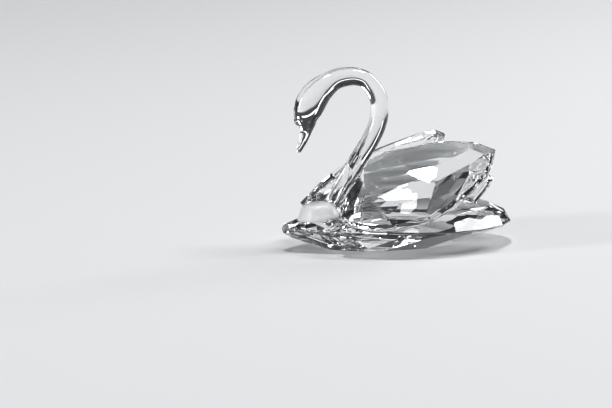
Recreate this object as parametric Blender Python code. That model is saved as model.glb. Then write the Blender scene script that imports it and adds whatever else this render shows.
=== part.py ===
"""Cut crystal swan figurine, 67 mm long and 50 mm tall, of five pieces of clear glass glued face to face.

It faces -Y, its left side is +X, and it stands on Z = 0. Points are given as (ahead, out, up) in millimetres:
ahead towards the bill, out from the middle plane and up from the table."""

import math

import bmesh
import bpy
from mathutils import Matrix, Vector

MM = 0.001
GLUE_GAP = 0.3
# Each stone is cut from a cube with this half side. A corner this near to a cut, in metres, counts as on it.
BLOCK_HALF = 60
ON_THE_CUT = 1e-7
GLASS_TINT = (0.88, 0.92, 0.94, 1)
WHEEL_POLISHED = 0.02
FIRE_POLISHED = 0.01

# The boat-shaped base: one half of its girdle, from the breast to the tail.
GIRDLE = (
    (33.3, 1.4),
    (29.0, 5.6),
    (23.4, 9.6),
    (16.7, 13.3),
    (1.6, 21.2),
    (-8.5, 23.2),
    (-18.0, 21.3),
    (-25.8, 15.7),
    (-31.1, 9.0),
    (-33.3, 2.5),
)
GIRDLE_UP = 6.3
GIRDLE_BAND = 0.4
BLUNT_END_BAND = 2.4
# Below the girdle the sides slope to a flat oval underside, more gently under the breast. Above it they
# slope to the flat deck.
UNDERSIDE_AHEAD = 2.0
UNDERSIDE_HALF_LENGTH = 19.0
UNDERSIDE_HALF_WIDTH = 10.0
PAVILION_BREAK = 1.5
BREAST_DROP = 1.5
CROWN_SLOPES = (44, 44, 42, 42, 43.8, 43, 45, 50, 56, 60, 62)
DECK_UP = 3.8
DECK_TILT = 1.7
SHOULDER_INSET = 2.4
SHOULDER_RISE = 0.62
SHOULDER_SLOPE = 24
# In front the deck breaks into the breast facet, which falls towards the bill.
BREAST_FROM = 16.6
BREAST_SLOPE = 7

# Each wing is an almond-shaped stone. Its outer face looks WING_TURN away from straight ahead and leans
# WING_LEAN back from level, and its long axis climbs WING_PITCH towards the tail within that face.
WING_AT = (0.15, 16.75, 19.4)
WING_TURN = 62.4
WING_LEAN = 43.8
WING_PITCH = 31.1
# Its rim, as (along, across, deep): along the long axis to the tip, across it upwards, and below the face.
WING_RIM = (
    (-24.3, 0.3, 0.0),
    (-20.2, 5.6, 0.0),
    (-11.9, 15.4, 0.6),
    (-3.0, 16.3, 2.1),
    (3.7, 14.3, 1.5),
    (9.8, 12.2, 0.6),
    (15.6, 8.9, -0.3),
    (19.9, 5.4, -0.5),
    (24.1, 0.0, 0.0),
    (21.2, -4.0, 0.0),
    (18.2, -6.7, 0.0),
    (13.4, -9.3, 0.0),
    (5.7, -12.2, 0.0),
    (-3.2, -13.4, 0.0),
    (-12.3, -11.1, 0.0),
    (-19.0, -7.3, 0.0),
    (-23.3, -3.2, 0.0),
)
# The outer face swells by the rise in the middle. Its facets lie in rows, each at a share of the way to the
# rim.
WING_CROWN_RISE = 2.2
WING_BREAK_SLOPE = 27
WING_KITE_SHARE = 0.6
WING_STAR_SHARE = 0.36
WING_TOP_SHARE = 0.15
WING_BAND_ABOVE = 1.4
WING_BAND_BELOW = 0.5
WING_BAND_DRAFT = 6
# Behind the band the back slopes in to the flat seat that is glued to the base. Above the seat and towards
# the tip there are broad facets too, in two rows that reach the seat at these shares of the way to the rim.
WING_BACK_SLOPE = 42
WING_BACK_SLOPE_BELOW = 52
WING_BACK_KITE_SLOPE = 34
WING_BACK_KITE_INSET = 0.5
WING_BROAD_STEP = 0.8
WING_BROAD_SHARES = (0.45, 0.2)
WING_BROAD_EASE = 0.45
WING_ABOVE_SEAT = 0.3
WING_BROAD_FROM_ABOVE = -0.3
WING_BROAD_FROM_BELOW = 0.6
# Down to the flat back, which clears the base's side facet by one glue gap.
WING_THICK = 5.82
# The two top edges stop this far from the middle plane. In front they are cut off along the neck, this far
# from its side, by a facet that is turned this much from sideways to ahead.
WING_FROM_MIDDLE = 0.22
WING_NECK_ROOM = 0.35
WING_NECK_TURN = 68

# A small plate that leans back over the tail: (ahead, up) of its foot and of its rounded end.
TAIL_FOOT = (-22.9, 11.4)
TAIL_TOP = (-28.2, 18.0)
TAIL_THICK = 1.6
TAIL_HALF_WIDTH_LOW = 3.1
TAIL_HALF_WIDTH_TOP = 3.9
TAIL_CHAMFER = 0.45
TAIL_TIP_RISE = 0.18
TAIL_TIP_ROUND = 0.8
TAIL_TIP_TURNS = (-60, -40, -20, 0, 20, 40, 60)

# The neck and head, from the foot on the breast to the end of the bill: (ahead, up, half thickness seen
# from the side, half width seen from the front).
NECK_LINE = (
    (21.3, 9.8, 2.5, 2.5),
    (19.3, 12.7, 2.1, 2.1),
    (16.0, 17.6, 2.15, 2.15),
    (11.3, 24.4, 2.45, 2.45),
    (7.5, 30.0, 2.5, 2.5),
    (5.2, 35.3, 2.55, 2.5),
    (5.1, 41.0, 2.55, 2.5),
    (8.4, 46.1, 2.4, 2.4),
    (11.9, 47.7, 2.5, 2.4),
    (15.5, 47.7, 2.7, 2.5),
    (18.6, 46.9, 2.95, 2.65),
    (21.8, 44.9, 3.65, 3.0),
    (24.1, 42.7, 4.2, 3.3),
    (25.6, 40.3, 4.3, 3.35),
    (26.4, 38.2, 3.95, 3.15),
    (26.6, 36.5, 3.3, 2.8),
    (26.5, 34.9, 2.45, 2.3),
    (26.7, 33.2, 1.65, 1.75),
    (27.4, 30.9, 1.2, 1.4),
    (28.3, 28.8, 0.85, 1.0),
    (28.7, 27.7, 0.6, 0.65),
    (28.85, 27.2, 0.25, 0.3),
)
NECK_STEPS = 3
NECK_SIDES = 20
# Between these two points of its line the lower neck is straight.
NECK_STRAIGHT_FROM = 1
NECK_STRAIGHT_TO = 4
KNOB_AT = (28.5, 36.2)
KNOB_RADIUS = 1.6
KNOB_SIDES = 16
KNOB_RINGS = 10
# The neck's round foot stands square on the breast facet: (height above the facet, radius).
FOOT_AHEAD = 23.0
FOOT_PROFILE = (
    (-0.8, 5.9),
    (0.4, 5.8),
    (1.5, 5.25),
    (2.6, 4.7),
    (3.5, 4.1),
    (4.0, 3.3),
    (4.25, 2.0),
    (4.3, 0.5),
)
FOOT_STEPS = 2
FOOT_SIDES = 28


def clear_scene():
    for obj in list(bpy.data.objects):
        bpy.data.objects.remove(obj, do_unlink=True)


def at(ahead, out, up):
    return Vector((out, -ahead, up)) * MM


def toward(turn, slope):
    """Unit vector that faces turn degrees from straight ahead and slope degrees away from straight up."""
    turn, slope = math.radians(turn), math.radians(slope)
    return Vector((math.sin(turn) * math.sin(slope), -math.cos(turn) * math.sin(slope), math.cos(slope)))


def crystal(name, roughness):
    material = bpy.data.materials.new(name)
    material.use_nodes = True
    shader = material.node_tree.nodes["Principled BSDF"]
    shader.inputs["Base Color"].default_value = GLASS_TINT
    shader.inputs["Roughness"].default_value = roughness
    shader.inputs["Metallic"].default_value = 0
    return material


def keep(name, bm, material):
    """The finished mesh as one object with its own material."""
    bmesh.ops.recalc_face_normals(bm, faces=bm.faces)
    mesh = bpy.data.meshes.new(name)
    bm.to_mesh(mesh)
    bm.free()
    obj = bpy.data.objects.new(name, mesh)
    bpy.context.scene.collection.objects.link(obj)
    mesh.materials.append(material)
    return obj


def rough_block(centre):
    bm = bmesh.new()
    bmesh.ops.create_cube(bm, size=2 * BLOCK_HALF * MM)
    bmesh.ops.translate(bm, verts=bm.verts, vec=centre)
    return bm


def cut(bm, point, normal):
    """Cuts one facet: what lies beyond the plane goes, and the cut is closed."""
    done = bmesh.ops.bisect_plane(
        bm,
        geom=bm.verts[:] + bm.edges[:] + bm.faces[:],
        dist=ON_THE_CUT,
        plane_co=point,
        plane_no=normal,
        clear_outer=True,
    )
    edges = [part for part in done["geom_cut"] if isinstance(part, bmesh.types.BMEdge)]
    if len(edges) > 2:
        bmesh.ops.contextual_create(bm, geom=edges)


def plan_turn(ahead, out):
    return math.degrees(math.atan2(out, ahead))


def girdle_reach(turn):
    """How far the girdle reaches from the origin in this direction."""
    c, s = math.cos(math.radians(turn)), math.sin(math.radians(turn))
    return max(ahead * c + out * s for ahead, out in GIRDLE)


def underside_reach(turn):
    """How far the flat underside, an ellipse, reaches in this direction."""
    c, s = math.cos(math.radians(turn)), math.sin(math.radians(turn))
    return UNDERSIDE_AHEAD * c + math.hypot(UNDERSIDE_HALF_LENGTH * c, UNDERSIDE_HALF_WIDTH * s)


def side_turns():
    """The direction that each side of the half girdle faces, with the blunt ends first and last."""
    turns = [0.0]
    for (ahead, out), (next_ahead, next_out) in zip(GIRDLE, GIRDLE[1:]):
        turns.append(plan_turn(next_out - out, ahead - next_ahead))
    return turns + [180.0]


def both_sides(turn):
    return (turn,) if turn in (0.0, 180.0) else (turn, -turn)


def deck_up(ahead):
    """The height of the deck, which rises a little towards the tail."""
    return GIRDLE_UP + DECK_UP - ahead * math.tan(math.radians(DECK_TILT))


def cut_deck(bm, clear):
    """Cuts the deck and the breast facet, this far above their places on the base."""
    for ahead, slope in ((0, DECK_TILT), (BREAST_FROM, BREAST_SLOPE)):
        normal = toward(0, slope)
        cut(bm, at(ahead, 0, deck_up(ahead)) + normal * clear * MM, normal)


def make_base():
    bm = rough_block(at(0, 0, 0))
    cut(bm, at(0, 0, 0), Vector((0, 0, -1)))
    cut_deck(bm, 0)
    turns = side_turns()
    for turn, crown in zip(turns, CROWN_SLOPES):
        reach = girdle_reach(turn)
        half_band = (BLUNT_END_BAND if turn in (0.0, 180.0) else GIRDLE_BAND) / 2
        low, high = GIRDLE_UP - half_band, GIRDLE_UP + half_band
        below = math.degrees(math.atan2(low, reach - underside_reach(turn)))
        for facing in both_sides(turn):
            rim = toward(facing, 90) * reach * MM
            cut(bm, rim, toward(facing, 90))
            cut(bm, rim + at(0, 0, high), toward(facing, crown))
            cut(bm, rim + at(0, 0, low), toward(facing, 180 - PAVILION_BREAK * below))
    for turn, after in zip(turns, turns[1:]):
        between = (turn + after) / 2
        reach = girdle_reach(between)
        low, high = GIRDLE_UP - GIRDLE_BAND / 2, GIRDLE_UP + GIRDLE_BAND / 2
        if turn == 0.0:
            low = GIRDLE_UP - BREAST_DROP
        below = math.degrees(math.atan2(low, reach - underside_reach(between)))
        top = deck_up(reach * math.cos(math.radians(between)))
        for facing in both_sides(between):
            rim = toward(facing, 90) * MM
            cut(bm, rim * reach + at(0, 0, low), toward(facing, 180 - below))
            shoulder = rim * (reach - SHOULDER_INSET) + at(0, 0, high + SHOULDER_RISE * (top - high))
            cut(bm, shoulder, toward(facing, SHOULDER_SLOPE))
    return keep("base", bm, crystal("clear_crystal_base", WHEEL_POLISHED))


def wing_axes(side):
    """The wing's long axis to its tip, the axis across it, and the way its outer face looks."""
    face = toward(WING_TURN, WING_LEAN)
    level = Vector((math.cos(math.radians(WING_TURN)), math.sin(math.radians(WING_TURN)), 0))
    climb = face.cross(level)
    if climb.z < 0:
        climb.negate()
    pitch = math.radians(WING_PITCH)
    along = level * math.cos(pitch) + climb * math.sin(pitch)
    across = climb * math.cos(pitch) - level * math.sin(pitch)
    axes = (along, across, face)
    return [Vector((side * axis.x, axis.y, axis.z)) for axis in axes]


def beside_neck(side):
    """A point and the normal of the plane that follows the straight lower neck on one side of it."""
    low, high = NECK_LINE[NECK_STRAIGHT_FROM], NECK_LINE[NECK_STRAIGHT_TO]
    sideways = Vector((side, 0, 0))
    climb = (at(high[0], 0, high[1]) - at(low[0], 0, low[1])).normalized()
    onward = Vector((1, 0, 0)).cross(climb)
    turn = math.radians(WING_NECK_TURN)
    facing = onward * math.sin(turn) - sideways * math.cos(turn)
    level = onward * math.cos(turn) + sideways * math.sin(turn)
    rooms = (facing * (ring[2] + WING_NECK_ROOM) * MM for ring in (low, high))
    first, last = (at(ring[0], 0, ring[1]) - room for ring, room in zip((low, high), rooms))
    normal = (last - first).cross(level).normalized()
    return first, normal if normal.dot(facing) > 0 else -normal


def make_wing(name, side):
    along, across, face = wing_axes(side)
    ahead, out, up = WING_AT
    middle = at(ahead, side * out, up)
    bm = rough_block(middle)

    def on_wing(s, t, deep):
        return middle + (along * s + across * t - face * deep) * MM

    def leaning(outward, slope):
        slope = math.radians(slope)
        return (outward * math.sin(slope) + face * math.cos(slope)).normalized()

    def band_below(outward):
        return WING_BAND_ABOVE if outward.dot(across) > 0 else WING_BAND_BELOW

    def back_slope(outward):
        return WING_BACK_SLOPE if outward.dot(across) > 0 else WING_BACK_SLOPE_BELOW

    def is_broad(outward):
        above = outward.dot(across) > WING_ABOVE_SEAT
        return outward.dot(along) > (WING_BROAD_FROM_ABOVE if above else WING_BROAD_FROM_BELOW)

    cut(bm, on_wing(0, 0, WING_THICK), -face)
    sides, corners = [], []
    for here, there in zip(WING_RIM, WING_RIM[1:] + WING_RIM[:1]):
        start = on_wing(*here)
        edge = (on_wing(*there) - start).normalized()
        outward = (across * (there[0] - here[0]) - along * (there[1] - here[1])).normalized()
        sides.append((outward, (start - middle).dot(outward), (here[2] + there[2]) / 2))
        for slope in (90 + WING_BAND_DRAFT, WING_BREAK_SLOPE):
            normal = leaning(outward, slope)
            cut(bm, start, (normal - edge * normal.dot(edge)).normalized())
        cut(bm, start - face * band_below(outward) * MM, leaning(outward, 180 - back_slope(outward)))
    for corner, before, after in zip(WING_RIM, sides[-1:] + sides[:-1], sides):
        outward = (before[0] + after[0]).normalized()
        corners.append((outward, (on_wing(*corner) - middle).dot(outward), corner[2]))
    for share, ease, row in zip(WING_BROAD_SHARES, (1, WING_BROAD_EASE), (sides, corners)):
        for outward, reach, deep in row:
            if is_broad(outward):
                climb = WING_THICK - deep - band_below(outward) - WING_BROAD_STEP
                slope = math.atan2(ease * climb * MM, reach * (1 - WING_BROAD_SHARES[0]))
                back = middle + outward * reach * share - face * WING_THICK * MM
                cut(bm, back, leaning(outward, 180 - math.degrees(slope)))
    for outward, reach, deep in corners:
        run = (WING_THICK - deep - band_below(outward)) / math.tan(math.radians(back_slope(outward)))
        back = middle + outward * (reach - (run + WING_BACK_KITE_INSET) * MM) - face * WING_THICK * MM
        cut(bm, back, leaning(outward, 180 - WING_BACK_KITE_SLOPE))
    rows = ((WING_KITE_SHARE, corners), (WING_STAR_SHARE, sides[::2]), (WING_TOP_SHARE, corners[1::4]))
    for share, row in rows:
        for outward, reach, deep in row:
            fall = (WING_CROWN_RISE + deep) * MM
            point = middle + outward * reach * share + face * (WING_CROWN_RISE * MM - fall * share**2)
            cut(bm, point, leaning(outward, math.degrees(math.atan2(2 * fall * share, reach))))
    cut(bm, at(0, side * WING_FROM_MIDDLE, 0), Vector((-side, 0, 0)))
    beside, facing = beside_neck(side)
    cut(bm, beside, facing)
    return keep(name, bm, crystal("clear_crystal_" + name, WHEEL_POLISHED))


def make_tail():
    foot, top = at(TAIL_FOOT[0], 0, TAIL_FOOT[1]), at(TAIL_TOP[0], 0, TAIL_TOP[1])
    stem = (top - foot).normalized()
    sideways = Vector((1, 0, 0))
    thick = stem.cross(sideways)
    bm = rough_block((foot + top) / 2)
    height = (top - foot).length / MM
    taper = math.degrees(math.atan2(TAIL_HALF_WIDTH_TOP - TAIL_HALF_WIDTH_LOW, height))
    resting = toward(0, DECK_TILT)
    cut(bm, at(0, 0, deck_up(0)) + resting * GLUE_GAP * MM, -resting)
    for way in (-1, 1):
        cut(bm, foot + thick * way * TAIL_THICK / 2 * MM, thick * way)
        edge = sideways * way * math.cos(math.radians(taper)) - stem * math.sin(math.radians(taper))
        cut(bm, foot + sideways * way * TAIL_HALF_WIDTH_LOW * MM, edge)
        for lean in (-0.5, 0.5):
            corner = foot + (sideways * way * TAIL_HALF_WIDTH_LOW + thick * lean * TAIL_THICK) * MM
            cut(bm, corner - edge * TAIL_CHAMFER * MM, (edge + thick * lean * 2).normalized())
    for turn in TAIL_TIP_TURNS:
        normal = stem * math.cos(math.radians(turn)) + sideways * math.sin(math.radians(turn))
        round_end = stem * (TAIL_TIP_RISE - 1) + normal
        cut(bm, top + round_end * TAIL_HALF_WIDTH_TOP * TAIL_TIP_ROUND * MM, normal)
    return keep("tail_feather", bm, crystal("clear_crystal_tail", WHEEL_POLISHED))


def smooth_line(points, steps):
    """A curve through the points, with steps rings to each span."""
    rings = []
    last = len(points) - 1
    for index in range(last):
        four = [points[min(max(index + offset, 0), last)] for offset in (-1, 0, 1, 2)]
        for f in (step / steps for step in range(steps)):
            ring = []
            for a, b, c, d in zip(*four):
                bend = (2 * a - 5 * b + 4 * c - d) * f**2 + (3 * b - a - 3 * c + d) * f**3
                ring.append(b + (c - a) * f / 2 + bend / 2)
            rings.append(ring)
    return rings + [points[-1]]


def swept(rings, sides):
    """One closed smooth body through elliptical rings that stand in the middle plane."""
    bm = bmesh.new()
    loops = []
    for index, (ahead, up, thick, wide) in enumerate(rings):
        before, after = rings[max(index - 1, 0)], rings[min(index + 1, len(rings) - 1)]
        heading = (at(after[0], 0, after[1]) - at(before[0], 0, before[1])).normalized()
        normal = Vector((1, 0, 0)).cross(heading)
        loop = []
        for side in range(sides):
            angle = 2 * math.pi * side / sides
            offset = Vector((wide * math.cos(angle), 0, 0)) + normal * thick * math.sin(angle)
            loop.append(bm.verts.new(at(ahead, 0, up) + offset * MM))
        loops.append(loop)
    for first, second in zip(loops, loops[1:]):
        for side in range(sides):
            after = (side + 1) % sides
            bm.faces.new((first[side], first[after], second[after], second[side]))
    bm.faces.new(loops[0])
    bm.faces.new(loops[-1])
    return bm


def helper(name, bm):
    obj = keep(name, bm, crystal(name + "_glass", FIRE_POLISHED))
    obj.hide_render = True
    obj.display_type = "WIRE"
    return obj


def neck_foot():
    """The round foot, whose rings stand square to the breast facet."""
    slope = math.radians(BREAST_SLOPE)
    up = deck_up(BREAST_FROM) - (FOOT_AHEAD - BREAST_FROM) * math.tan(slope)
    rings = [(FOOT_AHEAD + h * math.sin(slope), up + h * math.cos(slope), r, r) for h, r in FOOT_PROFILE]
    return helper("neck_foot", swept(smooth_line(rings, FOOT_STEPS), FOOT_SIDES))


def knob():
    bm = bmesh.new()
    bmesh.ops.create_uvsphere(bm, u_segments=KNOB_SIDES, v_segments=KNOB_RINGS, radius=KNOB_RADIUS * MM)
    bmesh.ops.rotate(bm, verts=bm.verts, cent=(0, 0, 0), matrix=Matrix.Rotation(math.radians(90), 3, "X"))
    bmesh.ops.translate(bm, verts=bm.verts, vec=at(KNOB_AT[0], 0, KNOB_AT[1]))
    return helper("knob", bm)


def deck_cutter():
    """A block that fills all the space up to one glue gap above the deck and the breast facet."""
    bm = rough_block(at(0, 0, 0))
    cut_deck(bm, GLUE_GAP)
    return helper("deck_cutter", bm)


def make_neck():
    body = swept(smooth_line(NECK_LINE, NECK_STEPS), NECK_SIDES)
    obj = keep("neck_and_head", body, crystal("formed_glass", FIRE_POLISHED))
    for operation, other in (("UNION", neck_foot()), ("UNION", knob()), ("DIFFERENCE", deck_cutter())):
        modifier = obj.modifiers.new(other.name, "BOOLEAN")
        modifier.operation = operation
        modifier.solver = "EXACT"
        modifier.object = other
    for polygon in obj.data.polygons:
        polygon.use_smooth = True
    return obj


clear_scene()
make_base()
make_wing("wing_left", 1)
make_wing("wing_right", -1)
make_tail()
make_neck()
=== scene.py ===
import math

import bmesh
import bpy
from mathutils import Matrix, Vector


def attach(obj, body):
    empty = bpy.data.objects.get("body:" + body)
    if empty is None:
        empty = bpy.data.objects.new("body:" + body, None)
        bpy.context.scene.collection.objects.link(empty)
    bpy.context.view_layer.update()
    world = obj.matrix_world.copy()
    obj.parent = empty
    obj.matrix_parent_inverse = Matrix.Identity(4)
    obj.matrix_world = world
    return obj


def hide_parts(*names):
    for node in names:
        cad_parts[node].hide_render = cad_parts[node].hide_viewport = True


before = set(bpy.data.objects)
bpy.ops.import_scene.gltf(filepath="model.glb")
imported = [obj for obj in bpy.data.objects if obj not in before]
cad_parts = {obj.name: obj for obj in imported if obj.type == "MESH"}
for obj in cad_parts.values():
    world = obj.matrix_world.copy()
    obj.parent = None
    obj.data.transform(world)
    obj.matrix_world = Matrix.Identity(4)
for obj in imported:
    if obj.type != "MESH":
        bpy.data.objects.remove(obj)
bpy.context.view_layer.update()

# The base: one block of lead crystal, sawn to a boat shape, ground flat facet by facet on an iron wheel and
# polished. It stands on its flat oval underside, and the other four pieces are glued to its upper facets.
MM = 0.001
CRYSTAL_CLEAR = "FBFCFC"
CRYSTAL_IOR = 1.56
# The length and depth of the waves that the polishing felt leaves, in mm.
POLISH_WAVE = 1.7
POLISH_DEPTH = 0.00015
# The faintly dull patches that a wiping cloth leaves: their size in mm, the levels of the noise between
# which they set in, and how dull they get.
WIPED_PATCH = 9
WIPED_FROM, WIPED_TO = 0.45, 0.8
WIPED_ROUGHNESS = 0.012
# Corners nearer than this, in mm, are one corner, and faces that turn by less, in degrees, are one facet.
SAME_CORNER = 0.002
SAME_FACET = 0.4
# A corner this near to a cut, in metres, counts as on it.
ON_THE_CUT = 1e-8
# The width of the chamfers, in mm. Edges that turn less than this, in degrees, have none.
EDGE_CHAMFER = 0.09
CHAMFER_FROM = 11


def linear(hex_colour):
    """An sRGB hex colour as the linear colour that a shader takes."""
    channels = [int(hex_colour[i:i + 2], 16) / 255 for i in (0, 2, 4)]
    return [c / 12.92 if c <= 0.04045 else ((c + 0.055) / 1.055) ** 2.4 for c in channels] + [1.0]


def add_node(tree, kind, links=None, **settings):
    """One node with its settings, each named as its socket but with underscores, and its incoming links."""
    node = tree.nodes.new("ShaderNode" + kind)
    for name, value in settings.items():
        node.inputs[name.replace("_", " ")].default_value = value
    for name, source in (links or {}).items():
        tree.links.new(source, node.inputs[name])
    return node


def new_material(name):
    """A material with an empty node tree."""
    material = bpy.data.materials.new(name)
    material.use_nodes = True
    material.node_tree.nodes.clear()
    return material


def polished_crystal():
    """Clear lead crystal, wheel-cut and polished: colourless, very bright at its edges, with facets that
    are flat but for the faint long waves that the polishing felt leaves in them."""
    material = new_material("wheel_polished_lead_crystal")
    tree = material.node_tree
    place = add_node(tree, "TexCoord").outputs["Object"]
    waves = add_node(tree, "TexNoise", {"Vector": place}, Scale=1 / (POLISH_WAVE * MM), Detail=1.0)
    height = {"Height": waves.outputs["Fac"]}
    relief = add_node(tree, "Bump", height, Strength=1.0, Distance=POLISH_DEPTH * MM)
    wipe = add_node(tree, "TexNoise", {"Vector": place}, Scale=1 / (WIPED_PATCH * MM), Detail=3.0)
    gloss = add_node(
        tree,
        "MapRange",
        {"Value": wipe.outputs["Fac"]},
        From_Min=WIPED_FROM,
        From_Max=WIPED_TO,
        To_Min=0.0,
        To_Max=WIPED_ROUGHNESS,
    )
    glass = add_node(
        tree,
        "BsdfPrincipled",
        {"Normal": relief.outputs["Normal"], "Roughness": gloss.outputs["Result"]},
        Base_Color=linear(CRYSTAL_CLEAR),
        IOR=CRYSTAL_IOR,
        Transmission_Weight=1.0,
    )
    add_node(tree, "OutputMaterial", {"Surface": glass.outputs["BSDF"]})
    return material


def merged_copy(node):
    """The node's own solid as a mesh that can be worked on, with its triangles joined back into facets."""
    bm = bmesh.new()
    bm.from_mesh(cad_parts[node].data)
    bmesh.ops.remove_doubles(bm, verts=bm.verts, dist=SAME_CORNER * MM)
    bmesh.ops.dissolve_limit(
        bm,
        angle_limit=math.radians(SAME_FACET),
        use_dissolve_boundaries=False,
        verts=bm.verts,
        edges=bm.edges,
    )
    return bm


def cut_facet(bm, point, normal):
    """Cuts away what lies beyond a plane and closes the cut."""
    cut = bmesh.ops.bisect_plane(
        bm,
        geom=bm.verts[:] + bm.edges[:] + bm.faces[:],
        dist=ON_THE_CUT,
        plane_co=point,
        plane_no=normal,
        clear_outer=True,
    )
    rim = [part for part in cut["geom_cut"] if isinstance(part, bmesh.types.BMEdge)]
    if len(rim) > 2:
        bmesh.ops.contextual_create(bm, geom=rim)


def break_edges(bm):
    """Takes the fine chamfer off every sharp edge of a convex stone, as the polisher does."""
    bm.normal_update()
    chamfers = []
    for edge in bm.edges:
        first, second = (face.normal.copy() for face in edge.link_faces)
        turn = first.angle(second)
        if turn > math.radians(CHAMFER_FROM):
            depth = EDGE_CHAMFER / 2 * math.tan(turn / 2) * MM
            chamfers.append((edge.verts[0].co.copy(), (first + second).normalized(), depth))
    for corner, normal, depth in chamfers:
        cut_facet(bm, corner - normal * depth, normal)


def finish_piece(name, bm, material, node):
    """The worked mesh as a piece that stands for its CAD node."""
    mesh = bpy.data.meshes.new(name)
    bm.normal_update()
    bm.to_mesh(mesh)
    bm.free()
    piece = bpy.data.objects.new(name, mesh)
    bpy.context.scene.collection.objects.link(piece)
    mesh.materials.append(material)
    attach(piece, "root")
    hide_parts(node)
    return piece


crystal = polished_crystal()
base = merged_copy("base")
break_edges(base)
finish_piece("cut_base", base, crystal, "base")

# The wings: two mirrored almond-shaped stones of the same crystal. The outer face of each is cut in rows of
# flat facets that swell to the middle. Its back slopes in behind the rim and has a flat, which is glued on.

# The outer face looks this many degrees away from straight ahead, and leans this many back from level.
WING_TURN = 62.4
WING_LEAN = 43.8
# The solids stay apart by the glue, in mm. Here the glued flat reaches across it and this far into the base.
GLUE_GAP = 0.3
GLUE_BITE = 0.04
# What lies this near to the furthest corner, in mm, belongs to the glued flat.
GLUED_FLAT = 0.01


def seat(bm, outward):
    """Moves the glued flat across the glue and just into the base, so that light passes between them."""
    furthest = max(vert.co.dot(outward) for vert in bm.verts)
    flat = [vert for vert in bm.verts if vert.co.dot(outward) > furthest - GLUED_FLAT * MM]
    bmesh.ops.translate(bm, verts=flat, vec=outward * (GLUE_GAP + GLUE_BITE) * MM)


turn, lean = math.radians(WING_TURN), math.radians(WING_LEAN)
for node, side in (("wing_left", 1), ("wing_right", -1)):
    outer = Vector((
        side * math.sin(turn) * math.sin(lean),
        -math.cos(turn) * math.sin(lean),
        math.cos(lean),
    ))
    wing = merged_copy(node)
    break_edges(wing)
    seat(wing, -outer)
    finish_piece("cut_" + node, wing, crystal, node)

# The tail feather: a small polished plate with a rounded end, ground flat at its foot and glued upright on
# the base behind the wings. The deck under it falls this many degrees towards the bill.
DECK_TILT = 1.7


def falling_ahead(slope):
    """The upward normal of a facet of the base's top that falls towards the bill."""
    return Vector((0, -math.sin(math.radians(slope)), math.cos(math.radians(slope))))


tail = merged_copy("tail_feather")
break_edges(tail)
seat(tail, -falling_ahead(DECK_TILT))
finish_piece("cut_tail_feather", tail, crystal, "tail_feather")

# The neck and head: one rod of soft glass, drawn and bent at the lamp, with a drop of glass melted on for
# the knob over the bill. Its lower end is pressed into a round foot, whose skin is etched to a milky white.

# Its middle line, as (ahead, up, half thickness seen from the side, half width seen from the front), in mm.
NECK_LINE = (
    (21.3, 9.8, 2.5, 2.5),
    (19.3, 12.7, 2.1, 2.1),
    (16.0, 17.6, 2.15, 2.15),
    (11.3, 24.4, 2.45, 2.45),
    (7.5, 30.0, 2.5, 2.5),
    (5.2, 35.3, 2.55, 2.5),
    (5.1, 41.0, 2.55, 2.5),
    (8.4, 46.1, 2.4, 2.4),
    (11.9, 47.7, 2.5, 2.4),
    (15.5, 47.7, 2.7, 2.5),
    (18.6, 46.9, 2.95, 2.65),
    (21.8, 44.9, 3.65, 3.0),
    (24.1, 42.7, 4.2, 3.3),
    (25.6, 40.3, 4.3, 3.35),
    (26.4, 38.2, 3.95, 3.15),
    (26.6, 36.5, 3.3, 2.8),
    (26.5, 34.9, 2.45, 2.3),
    (26.7, 33.2, 1.65, 1.75),
    (27.4, 30.9, 1.2, 1.4),
    (28.3, 28.8, 0.85, 1.0),
    (28.7, 27.7, 0.6, 0.65),
    (28.85, 27.2, 0.25, 0.3),
)
# Rings to each span of that line, and sides to each ring.
NECK_STEPS = 6
NECK_SIDES = 48
# The smoother skin here is drawn in to this share of its thickness, to stay inside the solid's reach.
SKIN_DRAWN_IN = 0.996
# The knob: its middle as (ahead, up), its radius seen from the side and its half width seen from the front.
KNOB_AT = (28.5, 36.2)
KNOB_RADIUS = 1.6
KNOB_HALF_WIDTH = 2.15
KNOB_SIDES = 32
KNOB_RINGS = 20
# The foot stands on the breast facet of the base, at this point (ahead, up) and slope in degrees.
BREAST_AT = (23.0, 8.82)
BREAST_SLOPE = 7
# The foot's side, as (height above the facet, radius), in mm. What lies below the facet is cut off.
FOOT_PROFILE = (
    (-0.8, 5.9),
    (0.4, 5.8),
    (1.5, 5.25),
    (2.6, 4.7),
    (3.5, 4.1),
    (4.0, 3.3),
    (4.25, 2.0),
    (4.3, 0.5),
)
FOOT_STEPS = 5
FOOT_SIDES = 72
# Edges that turn by more than this, in degrees, melt: in each pass their corners, and the ones beside them,
# are drawn this share of the way to their neighbours.
MELT_FROM = 18
MELT_PASSES = 4
MELT_PULL = 0.5
# An edge that turns more than this, in degrees, such as the foot's ground rim, is shaded sharp.
SHARP_FROM = 50
# The length and depth of the swell of the hand-bent rod, in mm.
SWELL_LENGTH = 4.0
SWELL_DEPTH = 0.03
# The etching's grain in mm, drawn coarser than the real one so that it shows, the levels of the noise that
# it runs between, and how rough its smoothest spots are beside the roughest.
ETCH_GRAIN = 0.5
GRAIN_FROM, GRAIN_TO = 0.3, 0.7
SMOOTHEST_SPOTS = 0.8
# How rough the drawn and the etched skin are, and the share of the light that they let through.
DRAWN_ROUGHNESS, DRAWN_CLARITY = 0.004, 1.0
ETCHED_ROUGHNESS, ETCHED_CLARITY = 0.42, 0.3


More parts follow.
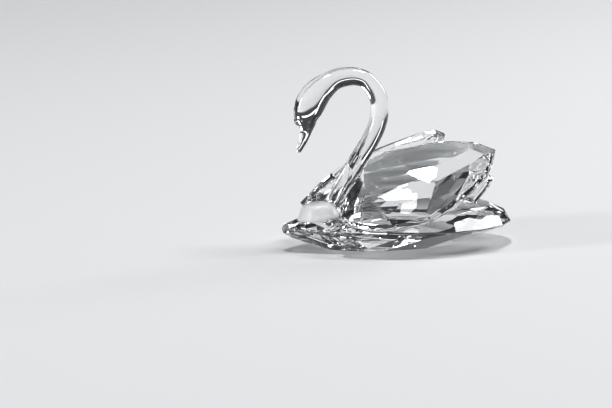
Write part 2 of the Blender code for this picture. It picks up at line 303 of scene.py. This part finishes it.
def flame_polished_crystal(name, roughness, clarity):
    """The same glass, worked soft in a flame: clear as water, its skin not ground but drawn smooth, with
    the slow swell that a hand-bent rod keeps. Etching makes the skin rough and milky."""
    material = new_material(name)
    tree = material.node_tree
    place = add_node(tree, "TexCoord").outputs["Object"]
    swell = add_node(tree, "TexNoise", {"Vector": place}, Scale=1 / (SWELL_LENGTH * MM), Detail=1.0)
    height = {"Height": swell.outputs["Fac"]}
    relief = add_node(tree, "Bump", height, Strength=1.0, Distance=SWELL_DEPTH * MM)
    grain = add_node(tree, "TexNoise", {"Vector": place}, Scale=1 / (ETCH_GRAIN * MM), Detail=2.0)
    gloss = add_node(
        tree,
        "MapRange",
        {"Value": grain.outputs["Fac"]},
        From_Min=GRAIN_FROM,
        From_Max=GRAIN_TO,
        To_Min=roughness * SMOOTHEST_SPOTS,
        To_Max=roughness,
    )
    glass = add_node(
        tree,
        "BsdfPrincipled",
        {"Normal": relief.outputs["Normal"], "Roughness": gloss.outputs["Result"]},
        Base_Color=linear(CRYSTAL_CLEAR),
        IOR=CRYSTAL_IOR,
        Transmission_Weight=clarity,
    )
    add_node(tree, "OutputMaterial", {"Surface": glass.outputs["BSDF"]})
    return material


def along_line(points, steps):
    """Rings along a smooth curve through the points, with steps rings to each span."""
    rings = []
    last = len(points) - 1
    for index in range(last):
        four = [points[min(max(index + offset, 0), last)] for offset in (-1, 0, 1, 2)]
        for f in (step / steps for step in range(steps)):
            ring = []
            for a, b, c, d in zip(*four):
                bend = (2 * a - 5 * b + 4 * c - d) * f * f
                swing = (3 * b - a - 3 * c + d) * f**3
                ring.append(0.5 * (2 * b + (c - a) * f + bend + swing))
            rings.append(ring)
    return rings + [list(points[-1])]


def drawn_rod(rings, sides):
    """The rod: a circle for each ring, set square to the line, stretched to its section and bridged."""
    bm = bmesh.new()
    across = Vector((1, 0, 0))
    loops = []
    for index, (ahead, up, thick, wide) in enumerate(rings):
        before, after = rings[max(index - 1, 0)], rings[min(index + 1, len(rings) - 1)]
        heading = Vector((0, before[0] - after[0], after[1] - before[1])).normalized()
        square = Matrix((across, heading.cross(across), heading)).transposed().to_4x4()
        place = Matrix.Translation(Vector((0, -ahead, up)) * MM) @ square
        circle = bmesh.ops.create_circle(
            bm,
            cap_ends=index in (0, len(rings) - 1),
            segments=sides,
            radius=SKIN_DRAWN_IN * MM,
            matrix=place @ Matrix.Diagonal((wide, thick, 1, 1)),
        )
        loops.append({edge for vert in circle["verts"] for edge in vert.link_edges})
    for first, second in zip(loops, loops[1:]):
        bmesh.ops.bridge_loops(bm, edges=list(first | second))
    return bm


def knob_drop():
    """The drop for the knob: a ball, pressed out to both sides."""
    bm = bmesh.new()
    bmesh.ops.create_uvsphere(bm, u_segments=KNOB_SIDES, v_segments=KNOB_RINGS, radius=KNOB_RADIUS * MM)
    bmesh.ops.rotate(bm, verts=bm.verts, matrix=Matrix.Rotation(math.radians(90), 3, "Y"))
    bmesh.ops.scale(bm, verts=bm.verts, vec=(KNOB_HALF_WIDTH / KNOB_RADIUS, 1, 1))
    bmesh.ops.translate(bm, verts=bm.verts, vec=Vector((0, -KNOB_AT[0], KNOB_AT[1])) * MM)
    return bm


def round_foot(breast, upright):
    """The foot: its profile turned round the line that stands square on the breast facet."""
    rings = []
    for height, radius in FOOT_PROFILE:
        middle = breast + upright * height
        rings.append((-middle.y, middle.z, radius, radius))
    return drawn_rod(along_line(rings, FOOT_STEPS), FOOT_SIDES)


def soft_body(bm, skins, skin):
    """A body of worked glass in one of the skins, ready to be melted together with others."""
    bmesh.ops.recalc_face_normals(bm, faces=bm.faces)
    slot = skins.index(skin)
    for face in bm.faces:
        face.material_index = slot
        face.smooth = True
    mesh = bpy.data.meshes.new("soft_glass")
    bm.to_mesh(mesh)
    bm.free()
    for material in skins:
        mesh.materials.append(material)
    body = bpy.data.objects.new("soft_glass", mesh)
    bpy.context.scene.collection.objects.link(body)
    return body


def melted_together(body, others):
    """One skin round all the bodies, smoothed along the seams, where the hot glass has run together."""
    for other in others:
        join = body.modifiers.new("melt", "BOOLEAN")
        join.operation, join.solver, join.object = "UNION", "EXACT", other
    melted = bpy.data.meshes.new_from_object(body.evaluated_get(bpy.context.evaluated_depsgraph_get()))
    for used in (body, *others):
        bpy.data.objects.remove(used, do_unlink=True)
    bm = bmesh.new()
    bm.from_mesh(melted)
    bmesh.ops.remove_doubles(bm, verts=bm.verts, dist=SAME_CORNER * MM)
    bm.normal_update()
    seam = {
        vert
        for edge in bm.edges
        if len(edge.link_faces) == 2 and edge.calc_face_angle() > math.radians(MELT_FROM)
        for vert in edge.verts
    }
    seam |= {edge.other_vert(vert) for vert in seam for edge in vert.link_edges}
    for _ in range(MELT_PASSES):
        bmesh.ops.smooth_vert(
            bm, verts=list(seam), factor=MELT_PULL, use_axis_x=True, use_axis_y=True, use_axis_z=True
        )
    return bm


drawn = flame_polished_crystal("flame_polished_lead_crystal", DRAWN_ROUGHNESS, DRAWN_CLARITY)
etched = flame_polished_crystal("etched_lead_crystal", ETCHED_ROUGHNESS, ETCHED_CLARITY)
skins = (drawn, etched)
breast = Vector((0, -BREAST_AT[0], BREAST_AT[1]))
upright = falling_ahead(BREAST_SLOPE)
rod = soft_body(drawn_rod(along_line(NECK_LINE, NECK_STEPS), NECK_SIDES), skins, drawn)
drop = soft_body(knob_drop(), skins, drawn)
foot = soft_body(round_foot(breast, upright), skins, etched)
neck = melted_together(rod, (drop, foot))
cut_facet(neck, (breast - upright * GLUE_BITE) * MM, -upright)
neck_piece = finish_piece("formed_neck_and_head", neck, drawn, "neck_and_head")
neck_piece.data.materials.append(etched)
neck_piece.data.set_sharp_from_angle(angle=math.radians(SHARP_FROM))

# The table top: a plain pale board with a dull coat, so wide that no view shows its edge. It lies a hair
# under the figurine, so that the glass and the board share no face.
FLOOR_PALE = "CFD0D2"
FLOOR_ROUGHNESS = 0.75
# How far it reaches to each side, in metres, and how far down it lies, in mm.
FLOOR_REACH = 4.0
FLOOR_DROP = 0.05

floor_mesh = bpy.data.meshes.new("table_top")
board = bmesh.new()
bmesh.ops.create_grid(board, x_segments=1, y_segments=1, size=FLOOR_REACH)
bmesh.ops.translate(board, verts=board.verts, vec=(0, 0, -FLOOR_DROP * MM))
board.to_mesh(floor_mesh)
board.free()
floor = bpy.data.objects.new("table_top", floor_mesh)
bpy.context.scene.collection.objects.link(floor)
paint = new_material("pale_table_top")
pale = linear(FLOOR_PALE)
coat = add_node(paint.node_tree, "BsdfPrincipled", Base_Color=pale, Roughness=FLOOR_ROUGHNESS)
add_node(paint.node_tree, "OutputMaterial", {"Surface": coat.outputs["BSDF"]})
floor_mesh.materials.append(paint)

# The studio: a dark grey room, because clear glass shows its shape against the dark, and six white lamps:
# one overhead, one in front, and two behind, of which the higher one lights the bend of the neck. Two thin
# strips on the far side draw the bright lines along the neck.
ROOM_GREY = "2C2D30"
# Each lamp's name, its place and what it faces, its width and height, all in metres, and its watts. The
# glass reflects the lamps, but the camera doesn't see them.
LAMPS = (
    ("overhead_softbox", (0.14, -0.205, 2.40), (0.14, -0.205, 0), 0.57, 0.16, 36),
    ("rear_softbox", (-0.45, 0.95, 0.45), (0, 0, 0.02), 0.30, 0.50, 5),
    ("front_softbox", (0.20, -1.30, 0.45), (0, 0, 0.02), 0.25, 0.60, 9),
    ("bend_softbox", (0.10, 0.62, 0.96), (0, 0, 0.045), 0.40, 0.34, 6),
    ("far_level_strip", (-0.94, 0.35, 0.14), (0, 0, 0.045), 0.70, 0.05, 0.22),
    ("far_upright_strip", (-0.98, -0.02, 0.08), (0, 0, 0.045), 0.05, 0.30, 0.12),
)

room = bpy.data.worlds.new("studio")
room.use_nodes = True
room.node_tree.nodes["Background"].inputs["Color"].default_value = linear(ROOM_GREY)
room.node_tree.nodes["Background"].inputs["Strength"].default_value = 1.0
bpy.context.scene.world = room
for name, place, target, width, height, watts in LAMPS:
    light = bpy.data.lights.new(name, "AREA")
    light.shape = "RECTANGLE"
    light.size, light.size_y = width, height
    light.energy = watts
    lamp = bpy.data.objects.new(name, light)
    lamp.location = place
    lamp.rotation_euler = (Vector(target) - Vector(place)).to_track_quat("-Z", "Y").to_euler()
    lamp.visible_camera = False
    bpy.context.scene.collection.objects.link(lamp)

# The camera: it stands a metre away at the swan's left front, a little above it, with a long lens. Light is
# followed through many faces of the cut glass, so that no facet stays black for want of a further bounce.

# Its place, what it faces and how near it sees are in metres, its lens and sensor in mm.
CAMERA_AT = Vector((0.91577, -0.36936, 0.16273))
CAMERA_FACES = Vector((-0.01031, -0.02284, 0.01114))
LENS = 210.25
SENSOR = 36
NEAREST_SEEN = 0.01
GLASS_BOUNCES = 24
GLOSS_BOUNCES = 12

camera_data = bpy.data.cameras.new("camera")
camera_data.lens = LENS
camera_data.sensor_width = SENSOR
camera_data.clip_start = NEAREST_SEEN
camera = bpy.data.objects.new("camera", camera_data)
camera.location = CAMERA_AT
camera.rotation_euler = (CAMERA_FACES - CAMERA_AT).to_track_quat("-Z", "Y").to_euler()
bpy.context.scene.collection.objects.link(camera)
bpy.context.scene.camera = camera
bpy.context.scene.view_settings.view_transform = "Standard"
bpy.context.scene.cycles.max_bounces = GLASS_BOUNCES
bpy.context.scene.cycles.transmission_bounces = GLASS_BOUNCES
bpy.context.scene.cycles.glossy_bounces = GLOSS_BOUNCES
